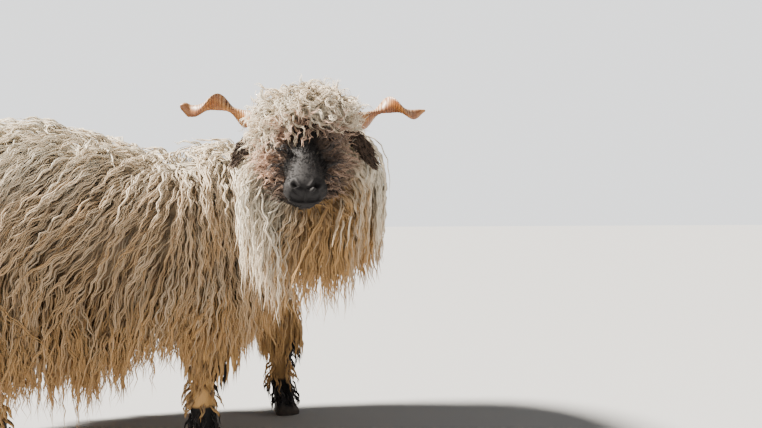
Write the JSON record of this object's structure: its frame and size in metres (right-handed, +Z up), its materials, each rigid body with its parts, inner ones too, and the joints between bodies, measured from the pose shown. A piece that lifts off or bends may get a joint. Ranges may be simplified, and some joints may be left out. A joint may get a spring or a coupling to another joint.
{
  "type": "valais blacknose sheep",
  "caption": "Life-size standing valais blacknose sheep, head turned over its right shoulder, with long fleece and twisted horns.",
  "frame": {"origin": "on the floor under the middle of the whole animal's box", "axes": "+X the way the body faces, along its length; +Y to its left; +Z up"},
  "size_m": [1.2452, 0.8915, 0.8898],
  "materials": {
    "wool": "long wavy cream fleece",
    "leg_wool": "cream wool with black knees, hocks and feet",
    "face": "black short-haired face under a cream curly topknot",
    "ear": "black short hair",
    "horn": "ribbed brown horn",
    "hoof": "dark horn",
    "eye": "wet dark brown"
  },
  "bodies": {
    "root": {"ear_left": "ear", "ear_right": "ear", "eye_left": "eye", "eye_right": "eye", "forehoof_left": "hoof", "forehoof_right": "hoof", "foreleg_left": "leg_wool", "foreleg_right": "leg_wool", "head": "face", "hindhoof_left": "hoof", "hindhoof_right": "hoof", "hindleg_left": "leg_wool", "hindleg_right": "leg_wool", "horn_left": "horn", "horn_right": "horn", "neck": "wool", "tail": "wool", "torso": "wool"}
  },
  "joints": []
}
